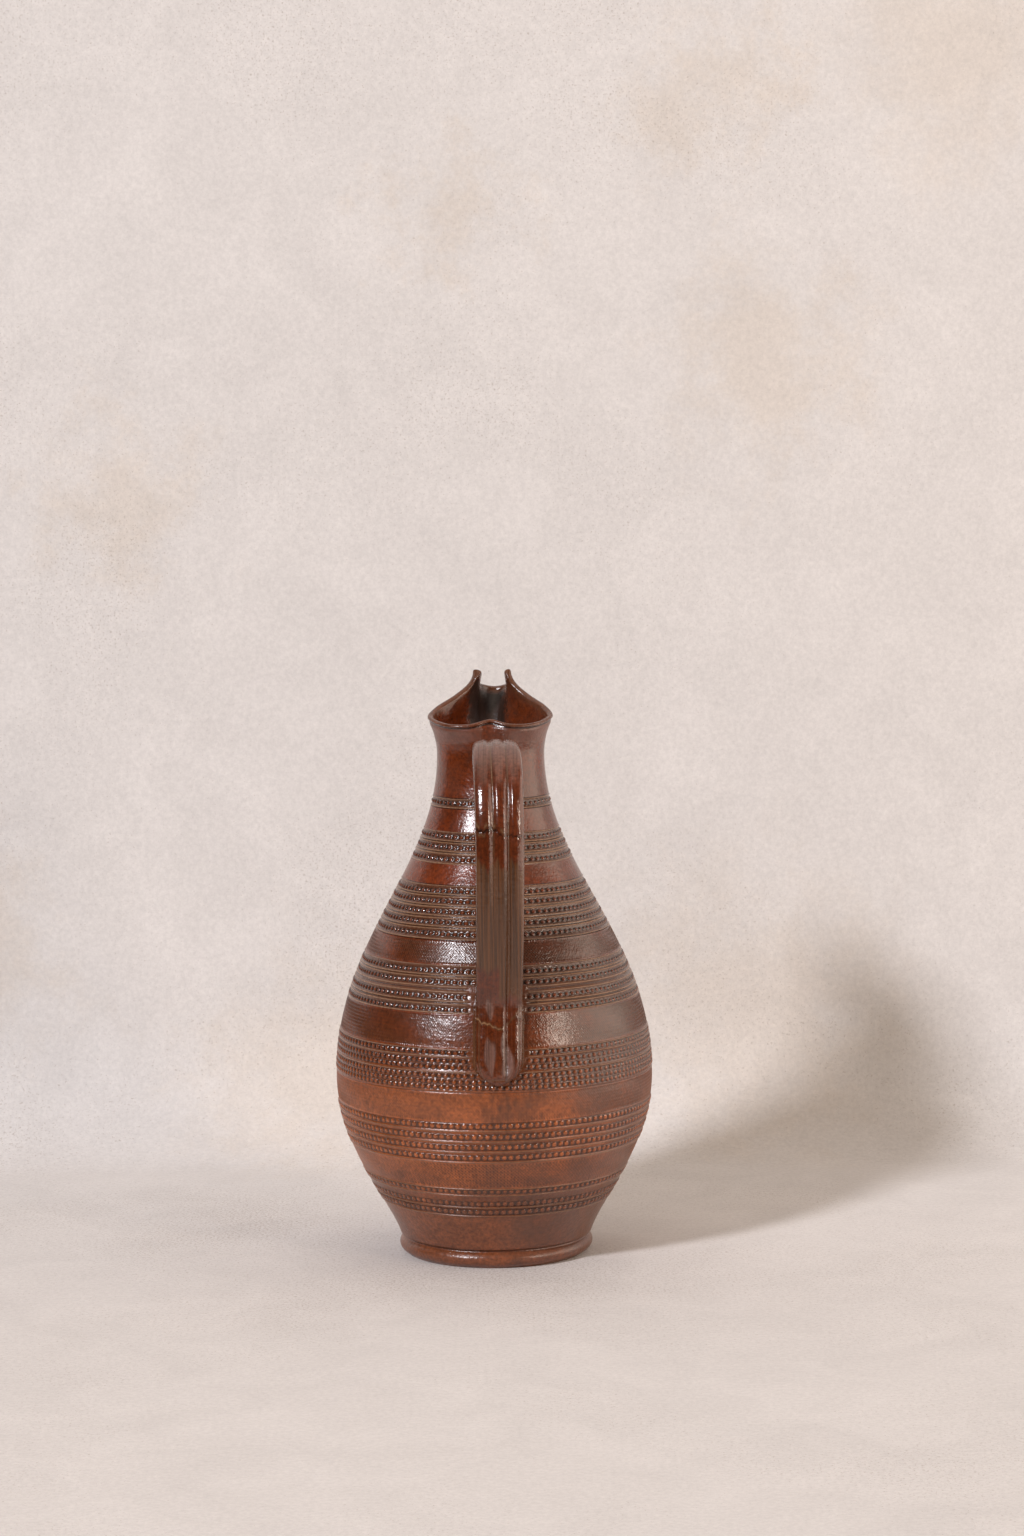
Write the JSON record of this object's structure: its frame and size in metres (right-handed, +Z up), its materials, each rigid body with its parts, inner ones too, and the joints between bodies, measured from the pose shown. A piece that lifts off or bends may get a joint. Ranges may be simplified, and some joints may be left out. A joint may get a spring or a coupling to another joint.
{
  "type": "stoneware jug",
  "caption": "Salt-glazed stoneware jug with a pear-shaped body in beaded bands, a pinched cloverleaf mouth and a strap handle.",
  "frame": {"origin": "centre of the flat base, on the throwing axis", "axes": "+Z up along the throwing axis, +Y towards the spout, -Y towards the handle"},
  "size_m": [0.1513, 0.1597, 0.2764],
  "materials": {
    "glaze": "salt glaze, glossy above and satin below"
  },
  "bodies": {
    "root": {"jug": "glaze"}
  },
  "joints": []
}
